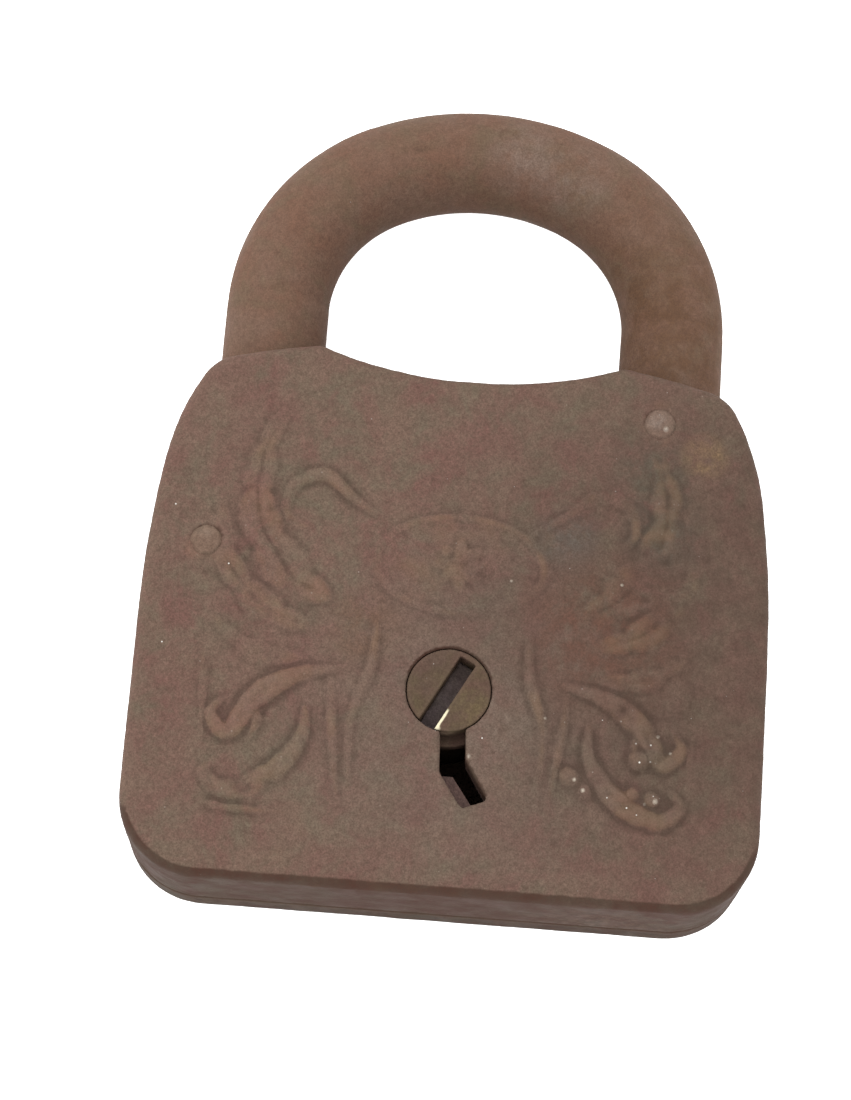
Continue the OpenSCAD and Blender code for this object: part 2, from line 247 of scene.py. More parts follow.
def raised(xy, points, width, height, widest, slope, lobes, vein):
    """Height of a raised shape that follows a curve, such as a leaf or a tendril. width is its
    greatest half width, reached at the share widest of its length, and it tapers to both ends.
    slope is the width of its edge, lobes scallops its outline, and vein is the depth of a groove
    along its middle, as a share of the height."""
    line = curve(points)
    reach = width + 0.2
    near = np.all((xy > line.min(0) - reach) & (xy < line.max(0) + reach), axis=1)
    out = np.zeros(len(xy))
    if not near.any():
        return out
    q = xy[near]
    best = np.full(len(q), -FAR)
    middle = np.full(len(q), FAR)
    spans = len(line) - 1
    for k in range(spans):
        a, d = line[k], line[k + 1] - line[k]
        t = np.clip((q - a) @ d / max(d @ d, 1e-9), 0, 1)
        away = np.linalg.norm(q - a - t[:, None] * d, axis=1)
        along = (k + t) / spans
        taper = np.where(along < widest, along / widest, (1 - along) / (1 - widest))
        half = width * (TIP + (1 - TIP) * np.clip(taper, 0, 1) ** 0.6)
        if lobes:
            wave = np.abs(np.sin(math.pi * lobes * along)) ** 0.7
            half = half * (NOTCH + (1 - NOTCH) * wave)
        inside = half - away
        closer = inside > best
        best[closer] = inside[closer]
        middle[closer] = away[closer]
    shape = smooth_step(best, 0, slope) * (0.75 + 0.25 * smooth_step(best, 0.2, 1.4))
    shape = shape - vein * np.exp(-(middle / VEIN_WIDTH) ** 2) * smooth_step(best, 0.2, 0.8)
    out[near] = height * np.clip(shape, 0, 1)
    return out


def mirrored(points):
    """The same line of points on the other side of the case."""
    return [(-x, y) for x, y in points]


# The foliage of one side, from beside the cartouche outward and down. Each is a line of points, then
# its greatest half width, its height, where it is widest, the width of its edge, its lobes and vein.
FOLIAGE = [
    ([(-6.2, -5.4), (-9.6, -3.2), (-12.3, -1.2), (-14.9, -2.2), (-15.5, -4.8), (-13.7, -6.1),
      (-12.5, -4.7)],
     0.90, 0.26, 0.35, 0.7, 0, 0.0),
    ([(-11.0, -12.6), (-14.6, -10.6), (-17.9, -5.4), (-18.0, 0.2), (-16.4, 5.0)],
     2.6, 0.24, 0.30, 0.9, 5, 0.4),
    ([(-12.2, -15.4), (-16.6, -13.8), (-20.4, -9.6), (-21.4, -3.4)],
     1.9, 0.20, 0.35, 0.8, 4, 0.4),
    ([(-12.6, -18.2), (-17.4, -17.8), (-21.4, -14.8)], 1.4, 0.18, 0.4, 0.7, 3, 0.3),
    ([(-9.4, -18.7), (-13.6, -19.8), (-16.8, -22.0), (-18.9, -25.2), (-20.6, -23.8), (-19.6, -22.2)],
     1.35, 0.38, 0.35, 0.7, 0, 0.15),
    ([(-12.4, -22.2), (-12.6, -25.4), (-14.9, -28.6), (-18.6, -30.4), (-20.6, -29.0), (-19.6, -27.4)],
     1.30, 0.42, 0.45, 0.7, 0, 0.15),
    ([(-17.6, -21.0), (-16.6, -24.0), (-17.4, -26.4)], 0.7, 0.20, 0.4, 0.5, 0, 0.0),
    ([(-20.9, -31.7), (-17.4, -32.0), (-13.0, -32.0)], 0.50, 0.34, 0.2, 0.45, 0, 0.0),
    ([(-6.6, -13.6), (-7.1, -19.0), (-8.4, -23.4), (-8.0, -31.8)], 0.75, 0.24, 0.35, 0.6, 0, 0.0),
    ([(-10.4, -19.4), (-9.9, -25.0), (-8.9, -31.4)], 0.6, 0.24, 0.35, 0.5, 0, 0.0),
    ([(-21.9, -17.0), (-21.5, -21.0), (-21.2, -27.8)], 0.45, 0.16, 0.5, 0.4, 0, 0.0),
]
# The berries on the better kept side: x, y, radius
BERRIES = [
    (10.9, -27.0, 1.1),
    (12.4, -28.2, 0.8),
    (17.0, -25.0, 1.3),
    (16.5, -28.2, 0.8),
    (18.2, -28.5, 0.9),
]
BERRY_HEIGHT = 0.40

CARTOUCHE = (0.2, -8.6)
CARTOUCHE_HALF = (7.4, 4.4)
CARTOUCHE_RIM = 0.15                        # height of its rim
RIM_WIDTH = 0.26
CARTOUCHE_FIELD = 0.07                      # height of the field inside the rim
PETALS = 8
ROSETTE_R = 2.2
PETAL_DEPTH = 0.5                           # how far the petals swing out and in from that radius
ROSETTE_HEIGHT = 0.13
WORN_BY = 0.22                              # extra wear of the upper right of the ornament


def relief(xy, points):
    """Height in millimetres of the worn cast ornament: mirrored leaves and scrolls, a few berries
    on the better kept side, and an oval cartouche with a rosette."""
    height = np.zeros(len(xy))
    for line, *form in FOLIAGE:
        for side in (line, mirrored(line)):
            height = np.maximum(height, raised(xy, side, *form))
    for x, y, radius in BERRIES:
        share = np.linalg.norm(xy - (x, y), axis=1) / radius
        height = np.maximum(height, BERRY_HEIGHT * smooth_step(1 - share, 0.0, 0.8))
    centred = (xy - CARTOUCHE) / CARTOUCHE_HALF
    rim = (np.linalg.norm(centred, axis=1) - 1) * min(CARTOUCHE_HALF)
    height = np.maximum(height, CARTOUCHE_RIM * np.exp(-(rim / RIM_WIDTH) ** 2))
    height = np.maximum(height, CARTOUCHE_FIELD * smooth_step(-rim, 0.0, 0.4))
    inner = xy - CARTOUCHE
    radius = np.linalg.norm(inner, axis=1)
    angle = np.arctan2(inner[:, 1], inner[:, 0])
    petal = smooth_step(1 - radius / (ROSETTE_R + PETAL_DEPTH * np.cos(PETALS * angle)), 0.0, 0.25)
    height = height + ROSETTE_HEIGHT * petal * np.clip(radius / 0.8, 0.3, 1)
    wear = 0.80 + 0.80 * grain(points, 5.0, 3) + 0.60 * grain(points, 1.5, 4)
    upper_right = smooth_step(xy[:, 0], 6.0, 12.0) * smooth_step(xy[:, 1], -19.0, -14.0)
    wear = wear - WORN_BY * upper_right
    rough = 0.05 * grain(points, 0.8, 5) * smooth_step(height, 0.02, 0.2)
    return height * np.clip(wear, 0.08, 1.05) + rough


def cast_skin(points, coarse, fine):
    """The uneven skin of an old casting, as a height: coarse and fine are its two depths."""
    skin = coarse * grain(points, 3.2, 11) + fine * grain(points, 0.9, 12)
    return skin + 0.6 * fine * grain(points, 0.45, 13)


def outer_share(points, normals):
    """1 on the outer walls and faces of the case, 0 on the walls of its cavity."""
    from_middle = points[:, :2] - CASE_MIDDLE
    away = from_middle / np.maximum(np.linalg.norm(from_middle, axis=1), 0.1)[:, None]
    sideways = smooth_step(np.einsum("ij,ij->i", away, normals[:, :2]), 0.05, 0.3)
    upward = smooth_step(normals[:, 2], 0.4, 0.8) * (points[:, 2] > FACE_Z - 0.6)
    downward = smooth_step(-normals[:, 2], 0.4, 0.8) * (points[:, 2] < 0.6)
    return np.maximum(sideways, np.maximum(upward, downward))


def collar(points, centre):
    """Height of the metal that was hammered up round a rivet."""
    out = np.linalg.norm(points[:, :2] - centre, axis=1)
    uneven = 0.16 + 0.12 * grain(points * (1, 1, 0), 1.6, 18)
    return uneven * np.exp(-((out - 1.30) / 0.75) ** 2)


def shape_front(points, normals):
    """Cast skin, metal hammered up round both rivets, and the worn relief on the face."""
    skin = cast_skin(points, 0.035, 0.022) + 0.05 * grain(points, 9.0, 14)
    skin = skin * outer_share(points, normals)
    on_face = points[:, 2] > ON_FACE
    from_drum = np.linalg.norm(points[:, :2] - (DRUM_X, DRUM_Y), axis=1)
    clear_of_drum = np.clip((from_drum - DRUM_R - 0.25) / 0.5, 0, 1)
    inward = np.zeros_like(points)
    for centre in RIVETS:
        skin = skin + collar(points, centre) * on_face
        way = points[:, :2] - centre
        out = np.linalg.norm(way, axis=1)
        lip = smooth_step(points[:, 2], FACE_Z - 0.9, ON_FACE)
        lip = lip * (1 - smooth_step(out, RIVET_R + 0.05, RIVET_R + 0.45))
        inward[:, :2] -= way / np.maximum(out, 0.1)[:, None] * (LIP_OVERLAP * lip)[:, None]
    move = normals * (skin * clear_of_drum)[:, None]
    face = np.clip((normals[:, 2] - 0.75) / 0.2, 0, 1) * on_face * clear_of_drum
    move[:, 2] += face * relief(points[:, :2], points)
    return move + inward


def shape_plain(points, normals):
    """Cast skin on the outside of a shell."""
    skin = cast_skin(points, 0.03, 0.018) * outer_share(points, normals)
    return normals * skin[:, None]


def shape_bar(points, normals):
    """The fine uneven skin of a rusted bar."""
    return normals * cast_skin(points, 0.02, 0.008)[:, None]


def shape_rivet(points, normals):
    """A hammered head, out of round and dented, whose rim sinks into the metal of the face."""
    centre = (points.min(0) + points.max(0)) / 2
    radius = np.linalg.norm((points - centre)[:, :2], axis=1) + 0.15 * grain(points, 1.4, 15)
    head = smooth_step(points[:, 2], FACE_Z - 0.02, FACE_Z + 0.08)
    move = normals * (cast_skin(points, 0.05, 0.02) * head)[:, None]
    move[:, 2] -= head * (0.15 * smooth_step(radius, 1.0, 1.6) + 0.12 * np.abs(grain(points, 0.9, 16)))
    return move + shape_tail(points, normals)


def shape_tail(points, normals):
    """The filed and dented end of a rivet in the back cover."""
    tail = smooth_step(-points[:, 2], -0.3, -0.1) * smooth_step(-normals[:, 2], 0.5, 0.9)
    move = np.zeros_like(points)
    move[:, 2] = tail * (0.02 + 0.08 * np.abs(grain(points, 0.9, 51)))
    return move


def shape_drum(points, normals):
    """Wear that rounds the drum's front and rust that narrows the gap round it."""
    from_axis = points[:, :2] - (DRUM_X, DRUM_Y)
    radius = np.linalg.norm(from_axis, axis=1)
    at_rim = smooth_step(radius, DRUM_R - 0.3, DRUM_R - 0.1) * (radius < DRUM_R + 0.1)
    at_rim = at_rim * smooth_step(points[:, 2], FACE_Z - 1.5, FACE_Z - 0.8)
    move = normals * cast_skin(points, 0.015, 0.012)[:, None]
    move[:, :2] += from_axis / np.maximum(radius, 0.1)[:, None] * (RIM_GROWTH * at_rim)[:, None]
    return move


# ---------------------------------------------------------------- materials

class Finish:
    """A material and short calls for the few kinds of node that the finishes use."""

    def __init__(self, name):
        self.material = bpy.data.materials.new(name)
        self.material.use_nodes = True
        self.tree = self.material.node_tree
        self.shader = self.tree.nodes["Principled BSDF"]
        self.place = self.tree.nodes.new("ShaderNodeTexCoord").outputs["Object"]

    def put(self, socket, value):
        """Links another node's output to a socket, or sets its constant."""
        if isinstance(value, bpy.types.NodeSocket):
            self.tree.links.new(value, socket)
        elif isinstance(value, tuple) and len(value) == 3:
            socket.default_value = (*value, 1.0)
        else:
            socket.default_value = value

    def noise(self, size, seed, detail=3.0, rough=0.55, distortion=0.0):
        """Noise from 0 to 1 with lumps about that many millimetres across."""
        node = self.tree.nodes.new("ShaderNodeTexNoise")
        node.noise_dimensions = "4D"
        self.put(node.inputs["Vector"], self.place)
        self.put(node.inputs["W"], float(seed))
        self.put(node.inputs["Scale"], 1 / (size * MM))
        self.put(node.inputs["Detail"], detail)
        self.put(node.inputs["Roughness"], rough)
        self.put(node.inputs["Distortion"], distortion)
        return node.outputs["Fac"]

    def span(self, value, low, high, to_low=0.0, to_high=1.0):
        """value, stretched from one range to another and held inside it."""
        node = self.tree.nodes.new("ShaderNodeMapRange")
        self.put(node.inputs["Value"], value)
        self.put(node.inputs["From Min"], low)
        self.put(node.inputs["From Max"], high)
        self.put(node.inputs["To Min"], to_low)
        self.put(node.inputs["To Max"], to_high)
        return node.outputs["Result"]

    def maths(self, kind, a, b):
        node = self.tree.nodes.new("ShaderNodeMath")
        node.operation = kind
        self.put(node.inputs[0], a)
        self.put(node.inputs[1], b)
        return node.outputs["Value"]

    def times(self, a, b):
        return self.maths("MULTIPLY", a, b)

    def mix(self, share, a, b):
        """Colour a where share is 0, and colour b where it is 1."""
        node = self.tree.nodes.new("ShaderNodeMix")
        node.data_type = "RGBA"
        self.put(node.inputs["Factor"], share)
        self.put(node.inputs[6], a)
        self.put(node.inputs[7], b)
        return node.outputs[2]

    def near(self, centre, radius, soft):
        """1 inside a ball round a point, fading to 0 outside it."""
        node = self.tree.nodes.new("ShaderNodeVectorMath")
        node.operation = "DISTANCE"
        self.put(node.inputs[0], self.place)
        node.inputs[1].default_value = tuple(c * MM for c in centre)
        return self.span(node.outputs["Value"], radius * MM, (radius + soft) * MM, 1.0, 0.0)

    def attribute(self, name):
        """A value that worked_copy stored at each point, and 0 on a mesh without it."""
        node = self.tree.nodes.new("ShaderNodeAttribute")
        node.attribute_name = name
        return node.outputs["Fac"]

    def flecks(self, size, share, seed, radius):
        """Sparse round dots: 1 in a dot and 0 elsewhere. share is the part of the cells with one."""
        cells = self.tree.nodes.new("ShaderNodeTexVoronoi")
        cells.voronoi_dimensions = "3D"
        shifted = self.tree.nodes.new("ShaderNodeVectorMath")
        shifted.operation = "ADD"
        self.put(shifted.inputs[0], self.place)
        shifted.inputs[1].default_value = (seed * MM, seed * MM, seed * MM)
        self.put(cells.inputs["Vector"], shifted.outputs["Vector"])
        self.put(cells.inputs["Scale"], 1 / (size * MM))
        dot = self.span(cells.outputs["Distance"], radius * 0.6, radius, 1.0, 0.0)
        channel = self.tree.nodes.new("ShaderNodeSeparateColor")
        self.put(channel.inputs["Color"], cells.outputs["Color"])
        chosen = self.maths("GREATER_THAN", channel.outputs["Red"], 1.0 - share)
        strength = self.span(channel.outputs["Green"], 0.0, 1.0, 0.15, 1.0)
        return self.times(self.times(dot, chosen), strength)

    def bump(self, height, depth, normal=None):
        """A relief of that depth in millimetres, on top of another one if normal is given."""
        node = self.tree.nodes.new("ShaderNodeBump")
        self.put(node.inputs["Height"], height)
        self.put(node.inputs["Distance"], depth * MM)
        self.put(node.inputs["Strength"], 1.0)
        if normal is not None:
            self.put(node.inputs["Normal"], normal)
        return node.outputs["Normal"]


def tone(red, green, blue):
    """A linear colour from 0 to 255 screen values."""
    def one(v):
        v = v / 255
        return v / 12.92 if v <= 0.04045 else ((v + 0.055) / 1.055) ** 2.4
    return (one(red), one(green), one(blue))


SPECK_SIZE = 0.18                           # patches up to this radius are solid, not ragged
BIG_PATCH = 8.0                             # patches from this radius on have a smoother ragged edge
# The tone of the painted glints, small bright flecks
GLINT_FLECK_TONE = (0.58, 0.56, 0.52)
OCHRE = tone(108, 82, 56)
RUBBED_EDGE = tone(196, 188, 160)
# The tone of the painted glints on the face
GLINT_TONE = tone(178, 168, 154)
BRIGHTER = 1.5                              # how much brighter rubbed ridges are: wear with a painted highlight
DEEPER = 0.7                                # how much darker deep hollows are, as dirt with painted shade
MATT = 0.05                                 # specular level of rust


def brighter(colour):
    return tuple(min(1.0, c * BRIGHTER) for c in colour)


def with_patches(f, colour, patches):
    """Adds patches of another colour, each with a ragged edge unless it is a speck."""
    for centre, radius, soft, shade, share in patches:
        inside = f.near(centre, radius, soft)
        if radius > SPECK_SIZE:
            spread = 0.12 if radius < BIG_PATCH else 0.40
            ragged = f.span(f.noise(1.8, 5, 4.0, 0.65), 0.47 - spread, 0.48 + spread)
            inside = f.times(inside, ragged)
        colour = f.mix(f.times(inside, share), colour, shade)
    return colour


def with_wall_shade(f, colour, plain, walls, walls_red):
    """Adds the darker tones below the edge of the face, painted shade on the walls, with a redder and a
    rubbed place.
    """
    ragged = f.span(f.noise(1.6, 17, 4.0, 0.7), 0.3, 0.7, -0.25, 0.25)
    below = f.span(f.maths("ADD", f.attribute("wall"), ragged), 0.2, 0.8, 0.0, 0.9)
    blotches = f.span(f.noise(3.0, 18, 6.0, 0.7), 0.38, 0.60)
    wall_shade_tone = f.mix(blotches, walls, walls_red)
    red = f.span(f.noise(2.0, 28, 6.0, 0.7), 0.30, 0.52)
    wall_shade_tone = f.mix(f.times(f.near(RED_WALL, 2.0, 13.0), red), wall_shade_tone, walls_red)
    rubbed = f.span(f.noise(1.0, 19, 6.0, 0.7), 0.45, 0.62)
    rubbed = f.times(f.near(RUBBED_WALL, 1.0, 8.0), rubbed)
    wall_shade_tone = f.mix(f.times(rubbed, 0.6), wall_shade_tone, plain)
    return f.mix(below, colour, wall_shade_tone)


def with_grain(f, colour, dark):
    """Adds the fine dark grain, the pits, and the dirt with painted shade in the hollows."""
    colour = f.mix(f.span(f.noise(0.45, 6, 3.0, 0.7), 0.32, 0.66, 0.34, 0.0), colour, dark)
    colour = f.mix(f.span(f.noise(0.14, 16, 2.0, 0.8), 0.36, 0.64, 0.55, 0.0), colour, dark)
    colour = f.mix(f.span(f.noise(1.3, 7, 5.0, 0.75), 0.30, 0.40, 0.5, 0.0), colour, dark)
    # The hollows are painted darker: dirt with painted shade.
    hollow = f.span(f.attribute("hollow"), 0.004, 0.05, 0.0, 0.45)
    return f.mix(hollow, colour, tuple(c * DEEPER for c in dark))


def with_glint_flecks(f, colour, share, high_spots):
    """Adds painted glints: small bright flecks everywhere, and more on the relief's raised spots, most of
    all near one corner."""
    large = f.flecks(1.3, share, 3.3, 0.07)
    small = f.times(f.flecks(0.6, share, 5.1, 0.09), 0.4)
    # Painted glints on the raised spots of the relief.
    rubbed = f.times(f.flecks(0.45, 0.22, 7.7, 0.22), high_spots)
    rubbed = f.times(rubbed, f.span(f.near(GLINT_CORNER, 3.0, 7.0), 0.0, 1.0, 0.12, 1.0))
    dots = f.maths("MAXIMUM", large, f.maths("MAXIMUM", small, rubbed))
    return f.mix(f.times(dots, 0.8), colour, GLINT_FLECK_TONE)


def rusted(name, plain, redder, olive, dark, patches=(), flecks=0.04, bump=0.05,
           walls=None, walls_red=None, shine=0.22, bright_edges=()):
    """Matt, fine-grained old rust in several tones, darker in its hollows, as dirt with painted shade, and
    brighter on its worn ridges, as wear with a painted highlight, by the share shine. walls and walls_red
    are the darker tones below the edge of the face, painted shade with a redder rust, and bright_edges
    are places (centre, radius, soft edge) where an edge is rubbed to the metal."""
    f = Finish(name)
    colour = f.mix(f.span(f.noise(5.0, 1, 6.0, 0.65, 0.4), 0.40, 0.62), plain, redder)
    colour = f.mix(f.span(f.noise(4.0, 2, 6.0, 0.65, 0.5), 0.46, 0.66, 0.0, 0.8), colour, olive)
    colour = with_patches(f, colour, patches)
    if walls:
        colour = with_wall_shade(f, colour, plain, walls, walls_red)
    colour = with_grain(f, colour, dark)
    high_spots = f.span(f.attribute("lift"), 0.07, 0.22)
    # Worn ridges are painted brighter, by the share shine: wear with a painted highlight.
    ridges = f.span(f.attribute("hollow"), -0.05, -0.008, 1.0, 0.0)
    if walls:
        ochre = f.span(f.attribute("lift"), 0.02, 0.12)
        ochre = f.times(ochre, f.span(f.noise(3.5, 27, 4.0), 0.45, 0.6))
        colour = f.mix(f.times(ochre, 0.16), colour, OCHRE)
        ridges = f.times(ridges, high_spots)
    colour = f.mix(f.times(ridges, shine), colour, brighter(plain))
    colour = with_glint_flecks(f, colour, flecks, high_spots)
    for centre, radius, soft in bright_edges:
        edge = f.span(f.attribute("hollow"), -0.055, -0.028, 0.85, 0.0)
        colour = f.mix(f.times(edge, f.near(centre, radius, soft)), colour, RUBBED_EDGE)
    f.put(f.shader.inputs["Base Color"], colour)
    f.put(f.shader.inputs["Roughness"], f.span(f.noise(2.5, 8, 3.0), 0.3, 0.7, 0.62, 0.86))
    f.put(f.shader.inputs["Specular IOR Level"], MATT)
    normal = f.bump(f.noise(0.9, 9, 4.0, 0.6), bump)
    normal = f.bump(f.noise(0.28, 10, 2.0, 0.6), bump * 0.7, normal)
    f.put(f.shader.inputs["Normal"], normal)
    return f.material


SCRATCH_DEPTH = 0.012


def bare_metal(name, bright, dull, tarnish, rough, amount, metallic=0.85):
    """Old machined metal: dulled, with brighter rubbed places, fine scratches, and tarnish spots
    over at most the share amount."""
    f = Finish(name)
    colour = f.mix(f.span(f.noise(2.6, 21, 4.0, 0.6), 0.38, 0.64), bright, dull)
    spots = f.span(f.noise(1.1, 22, 5.0, 0.7), 0.50, 0.62, 0.0, amount)
    colour = f.mix(spots, colour, tarnish)
    worn = f.span(f.attribute("hollow"), -0.04, -0.01, 0.5, 0.0)
    colour = f.mix(worn, colour, brighter(bright))
    f.put(f.shader.inputs["Base Color"], colour)
    f.put(f.shader.inputs["Metallic"], metallic)
    roughness = f.span(f.noise(0.8, 23, 4.0, 0.7), 0.3, 0.7, rough - 0.1, rough + 0.15)
    f.put(f.shader.inputs["Roughness"], roughness)
    f.put(f.shader.inputs["Normal"], f.bump(f.noise(0.35, 24, 3.0, 0.6), SCRATCH_DEPTH))
    return f.material


def finished(piece, material):
    """Gives a piece its one material."""
    piece.data.materials.clear()
    piece.data.materials.append(material)
    return piece


GLINT_CORNER = (16.0, -27.0, FACE_Z)         # where the painted glints on the relief are thickest
RUBBED_WALL = (15.0, cad_low.y / MM, 6.5)   # a rubbed place low on the bottom wall
RED_WALL = (-1.0, cad_low.y / MM, 9.0)      # the reddest part of the bottom wall

# Places on the face whose colour differs: centre, radius, soft edge, colour, strength
CASE_PATCHES = [
    ((2.0, -22.0, FACE_Z), 9.0, 10.0, tone(93, 81, 73), 0.6),
    # The darker right part of the face is painted shade, as the light falls off to the right, with darker
    # rust.
    ((27.0, -12.0, FACE_Z), 12.0, 20.0, tone(62, 49, 42), 0.95),
    ((17.0, 1.2, FACE_Z), 1.4, 3.2, tone(74, 70, 60), 0.8),
    ((17.8, -4.2, FACE_Z), 1.4, 3.2, tone(72, 68, 59), 0.8),
    ((9.6, -5.6, FACE_Z), 1.2, 2.6, tone(76, 75, 70), 0.6),
    ((13.0, -14.0, FACE_Z), 3.0, 6.0, tone(90, 62, 52), 0.8),
    ((21.4, 3.2, FACE_Z), 0.8, 1.8, tone(118, 96, 70), 0.7),
    ((-8.0, -15.0, FACE_Z), 1.0, 3.5, tone(94, 70, 56), 0.7),
    ((3.4, -22.5, FACE_Z), 1.0, 5.0, tone(106, 92, 82), 0.7),
]

# Painted glints, small bright spots on the face and its relief: x, y, radius, soft edge
GLINT_SPECKS = [
    (18.5, -28.6, 0.10, 0.22),
    (17.6, -28.9, 0.06, 0.14),
    (12.2, -28.1, 0.06, 0.18),
    (11.4, -27.2, 0.06, 0.16),
    (18.5, -22.8, 0.07, 0.16),
    (19.6, -24.2, 0.06, 0.14),
    (2.1, -25.8, 0.05, 0.26),
    (4.8, -9.7, 0.07, 0.15),
    (14.6, -9.3, 0.07, 0.14),
    (8.6, -21.9, 0.07, 0.15),
    (-5.2, -30.8, 0.06, 0.14),
    (20.9, 9.1, 0.06, 0.18),
]
SPECK_Z = FACE_Z + 0.15                     # on the relief


def glint_speck(x, y, radius, soft):
    """A painted glint, a small bright spot, as a patch of the face."""
    return (x, y, SPECK_Z), radius, soft, GLINT_TONE, 0.9


CASE_PATCHES += [glint_speck(*place) for place in GLINT_SPECKS]

# Patches of the bar: a rubbed band with a painted highlight on the crest of the arch, and an oranger right
# leg
BAR_PATCHES = [
    ((3.5, 32.4, 11.0), 1.0, 3.4, tone(112, 100, 92), 0.6),
    ((8.5, 30.6, 11.0), 1.0, 3.4, tone(112, 100, 92), 0.6),
    ((18.0, 16.0, 8.0), 6.0, 10.0, tone(82, 60, 44), 0.95),
]

SLOT_WAY = np.array([math.cos(math.radians(SLOT_TURN)), math.sin(math.radians(SLOT_TURN))])
SLOT_ASIDE = np.array([-SLOT_WAY[1], SLOT_WAY[0]])
DRUM_MIDDLE = np.array([DRUM_X, DRUM_Y])
RUBBED_ALONG = (-3.4, -2.9, -2.4, -1.9)     # places along the slot's edge, from its middle


def slot_edge_place(along):
    """A place on the lower right edge of the drum's slot, which is rubbed bright near the rim."""
    x, y = DRUM_MIDDLE - SLOT_ASIDE * (SLOT_WIDTH / 2) + SLOT_WAY * along
    return (float(x), float(y), DRUM_TOP), 0.25, 0.25


SLOT_EDGE = [slot_edge_place(along) for along in RUBBED_ALONG]

# A light spot on the left rivet, and on the right one a lighter spot with a painted glint
LEFT_RIVET_PATCHES = [
    ((-22.6, -7.6, FACE_Z + 0.3), 0.2, 0.7, tone(118, 102, 90), 0.7),
]
RIGHT_RIVET_PATCHES = [
    ((17.0, 6.3, FACE_Z + 0.4), 0.4, 0.8, tone(122, 110, 102), 0.85),
    ((17.7, 5.5, FACE_Z + 0.3), 0.05, 0.28, tone(172, 162, 150), 0.9),
]

# The drum's front is yellower at its lower right, and its side is pale below, at the keyhole
DRUM_PATCHES = [
    ((DRUM_X + 2.0, DRUM_Y - 1.6, DRUM_TOP), 0.6, 2.0, tone(94, 82, 58), 0.8),
    ((DRUM_X, DRUM_LOW.y / MM, DRUM_TOP - 1.0), 0.7, 0.8, tone(150, 128, 108), 0.9),
]

# Rust in its plain, redder, olive and dark tones, then metal in its bright, dull and tarnished ones
# The case's wall tones are painted shade on its walls, partly a redder rust.
case_iron = rusted("case_iron", tone(101, 82, 71), tone(99, 72, 65), tone(92, 84, 70), tone(54, 42, 35),
                   CASE_PATCHES, walls=tone(61, 51, 42), walls_red=tone(56, 32, 25), shine=0.10)
# The back cover's tones are as dark as the case's walls: painted shade on its edge, which shows below the
# face.
cover_iron = rusted("cover_iron", tone(66, 53, 44), tone(62, 42, 35), tone(60, 52, 42), tone(38, 29, 23),
                    bump=0.04)
shackle_steel = rusted("shackle_steel", tone(99, 78, 66), tone(97, 71, 58), tone(89, 76, 60),
                       tone(58, 43, 35), BAR_PATCHES, flecks=0.015, bump=0.02)
rusty_steel = rusted("rusty_steel", tone(103, 85, 73), tone(100, 78, 66), tone(96, 85, 70), tone(60, 47, 39),
                     LEFT_RIVET_PATCHES, flecks=0.30, bump=0.06)
worn_steel = rusted("worn_steel", tone(101, 84, 73), tone(98, 76, 66), tone(94, 84, 72), tone(60, 49, 42),
                    RIGHT_RIVET_PATCHES, flecks=0.40, bump=0.07)
ward_steel = rusted("ward_steel", tone(104, 84, 78), tone(96, 74, 68), tone(92, 80, 72), tone(54, 42, 40),
                    bump=0.02)
drum_brass = rusted("drum_brass", tone(80, 66, 56), tone(83, 62, 54), tone(77, 68, 49), tone(50, 38, 31),
                    DRUM_PATCHES, flecks=0.03, bump=0.02, shine=0.12, bright_edges=SLOT_EDGE)
grime = rusted("grime", tone(96, 84, 84), tone(88, 74, 72), tone(92, 84, 74), tone(52, 44, 42), bump=0.06)
bolt_brass = bare_metal("bolt_brass", tone(176, 140, 78), tone(140, 108, 62), tone(84, 62, 44), 0.40, 0.7)
lever_brass = bare_metal("lever_brass", tone(186, 150, 86), tone(150, 118, 68), tone(90, 66, 46), 0.36, 0.6)
spring_steel = bare_metal("spring_steel", tone(120, 120, 122), tone(92, 92, 96), tone(90, 66, 50), 0.32, 0.4)
inner_steel = bare_metal("inner_steel", tone(84, 74, 64), tone(56, 47, 40), tone(50, 34, 27), 0.55, 0.8,
                         metallic=0.4)


# ---------------------------------------------------------------- pieces that stand for CAD nodes

# The CAD node, the name of its worked copy, the size of the remesh, rounds of softening, shape,
# share of the triangles kept, the record's slot, and the material
WORKED = [
    ("front_case", "front_case_cast", 0.22, 3, shape_front, 0.55, "case_iron", case_iron),
    ("back_cover", "back_cover_cast", 0.30, 2, shape_plain, 0.5, "cover_iron", cover_iron),
    ("shackle", "shackle_bar_worn", 0.25, 2, shape_bar, 0.5, "shackle_steel", shackle_steel),
    ("shackle_pivot", "shackle_pivot_peened", 0.12, 2, shape_rivet, 1.0, "worn_steel", worn_steel),
    ("lever_post", "lever_post_peened", 0.12, 2, shape_rivet, 1.0, "rusty_steel", rusty_steel),
    ("key_drum", "key_drum_worn", 0.12, 2, shape_drum, 1.0, "drum_brass", drum_brass),
    ("cover_studs", "cover_studs_filed", 0.14, 2, shape_tail, 1.0, "rusty_steel", rusty_steel),
]
for *how, material in WORKED:
    finished(worked_copy(*how), material)


GRIME_ALONG, GRIME_ACROSS = 30, 8           # points along and across the packed dirt


